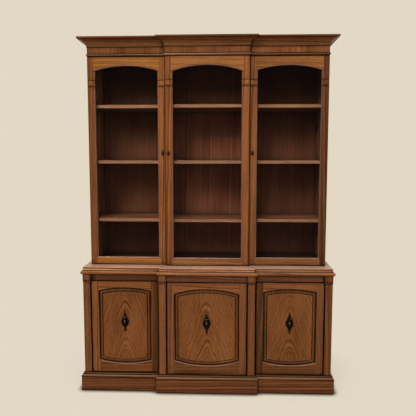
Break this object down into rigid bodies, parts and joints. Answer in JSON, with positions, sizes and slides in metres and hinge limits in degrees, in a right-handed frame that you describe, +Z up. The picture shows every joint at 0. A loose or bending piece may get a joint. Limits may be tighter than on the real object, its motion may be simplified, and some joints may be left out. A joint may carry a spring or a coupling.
{
  "type": "breakfront hutch cabinet",
  "caption": "Wooden breakfront display hutch: arched glazed doors over a counter and arched panelled cupboard doors with drop pulls.",
  "frame": {"origin": "on the floor, at the centre of the cabinet's footprint", "axes": "+X to the right seen from the front, -Y out of the front, +Z up"},
  "size_m": [1.502, 0.428, 2.08],
  "materials": {
    "case_wood": "satin lacquer",
    "case_inside_wood": "matte lacquer",
    "cornice_wood": "satin lacquer",
    "counter_wood": "polished lacquer",
    "door_frame_wood": "satin lacquer",
    "door_panel_wood": "satin lacquer, crown-cut figure",
    "glass": "clear",
    "bronze": "dark antique, rubbed bright on the high spots",
    "steel": "dulled",
    "brass": "aged"
  },
  "bodies": {
    "case": {"base_back": "case_inside_wood", "base_bottom": "case_wood", "base_frieze_rails": "case_wood", "base_pivot_plates": "steel", "base_shelves": "case_inside_wood", "base_top": "case_wood", "base_uprights": "case_wood", "cornice_astragal": "cornice_wood", "cornice_cap": "cornice_wood", "cornice_cove": "cornice_wood", "cornice_frieze": "cornice_wood", "counter_moulding": "counter_wood", "counter_top": "counter_wood", "pilaster_capitals": "case_wood", "pilasters": "case_wood", "plinth_boards": "case_wood", "plinth_moulding": "case_wood", "shelf_pins": "brass", "upper_back": "case_inside_wood", "upper_bottoms": "case_inside_wood", "upper_pivot_plates": "steel", "upper_shelves": "case_inside_wood", "upper_tops": "case_inside_wood", "upper_uprights": "case_wood"},
    "left_glass_door": {"left_glass_door_beads": "door_frame_wood", "left_glass_door_glass": "glass", "left_glass_door_knob": "bronze", "left_glass_door_rails": "door_frame_wood", "left_glass_door_sockets": "steel", "left_glass_door_stiles": "door_frame_wood"},
    "left_panel_door": {"left_panel_door_leaves": "steel", "left_panel_door_panel": "door_panel_wood", "left_panel_door_rails": "door_frame_wood", "left_panel_door_stiles": "door_frame_wood", "left_pull_plate": "bronze"},
    "left_pull_drop": {"left_pull_drop": "bronze"},
    "centre_glass_door": {"centre_glass_door_beads": "door_frame_wood", "centre_glass_door_glass": "glass", "centre_glass_door_knob": "bronze", "centre_glass_door_rails": "door_frame_wood", "centre_glass_door_sockets": "steel", "centre_glass_door_stiles": "door_frame_wood"},
    "centre_panel_door": {"centre_panel_door_leaves": "steel", "centre_panel_door_panel": "door_panel_wood", "centre_panel_door_rails": "door_frame_wood", "centre_panel_door_stiles": "door_frame_wood", "centre_pull_plate": "bronze"},
    "centre_pull_drop": {"centre_pull_drop": "bronze"},
    "right_glass_door": {"right_glass_door_beads": "door_frame_wood", "right_glass_door_glass": "glass", "right_glass_door_knob": "bronze", "right_glass_door_rails": "door_frame_wood", "right_glass_door_sockets": "steel", "right_glass_door_stiles": "door_frame_wood"},
    "right_panel_door": {"right_panel_door_leaves": "steel", "right_panel_door_panel": "door_panel_wood", "right_panel_door_rails": "door_frame_wood", "right_panel_door_stiles": "door_frame_wood", "right_pull_plate": "bronze"},
    "right_pull_drop": {"right_pull_drop": "bronze"}
  },
  "joints": [
    {"name": "left_glass_door_hinge", "type": "hinge", "parent": "case", "child": "left_glass_door", "pos_m": [-0.6945, -0.091, 0.753], "axis": [0, 0, -1], "range_deg": [0, 110]},
    {"name": "left_panel_door_hinge", "type": "hinge", "parent": "case", "child": "left_panel_door", "pos_m": [-0.684, -0.173, 0.111], "axis": [0, 0, -1], "range_deg": [0, 110]},
    {"name": "centre_glass_door_hinge", "type": "hinge", "parent": "case", "child": "centre_glass_door", "pos_m": [0.238, -0.113, 0.753], "axis": [0, 0, 1], "range_deg": [0, 90]},
    {"name": "centre_panel_door_hinge", "type": "hinge", "parent": "case", "child": "centre_panel_door", "pos_m": [0.233, -0.195, 0.111], "axis": [0, 0, 1], "range_deg": [0, 90]},
    {"name": "right_glass_door_hinge", "type": "hinge", "parent": "case", "child": "right_glass_door", "pos_m": [0.6945, -0.091, 0.753], "axis": [0, 0, 1], "range_deg": [0, 110]},
    {"name": "right_panel_door_hinge", "type": "hinge", "parent": "case", "child": "right_panel_door", "pos_m": [0.684, -0.173, 0.111], "axis": [0, 0, 1], "range_deg": [0, 110]},
    {"name": "left_pull_swing", "type": "hinge", "parent": "left_panel_door", "child": "left_pull_drop", "pos_m": [-0.4865, -0.1805, 0.446], "axis": [-1, 0, 0], "range_deg": [0, 80]},
    {"name": "centre_pull_swing", "type": "hinge", "parent": "centre_panel_door", "child": "centre_pull_drop", "pos_m": [0, -0.2025, 0.446], "axis": [-1, 0, 0], "range_deg": [0, 80]},
    {"name": "right_pull_swing", "type": "hinge", "parent": "right_panel_door", "child": "right_pull_drop", "pos_m": [0.4865, -0.1805, 0.446], "axis": [-1, 0, 0], "range_deg": [0, 80]}
  ]
}
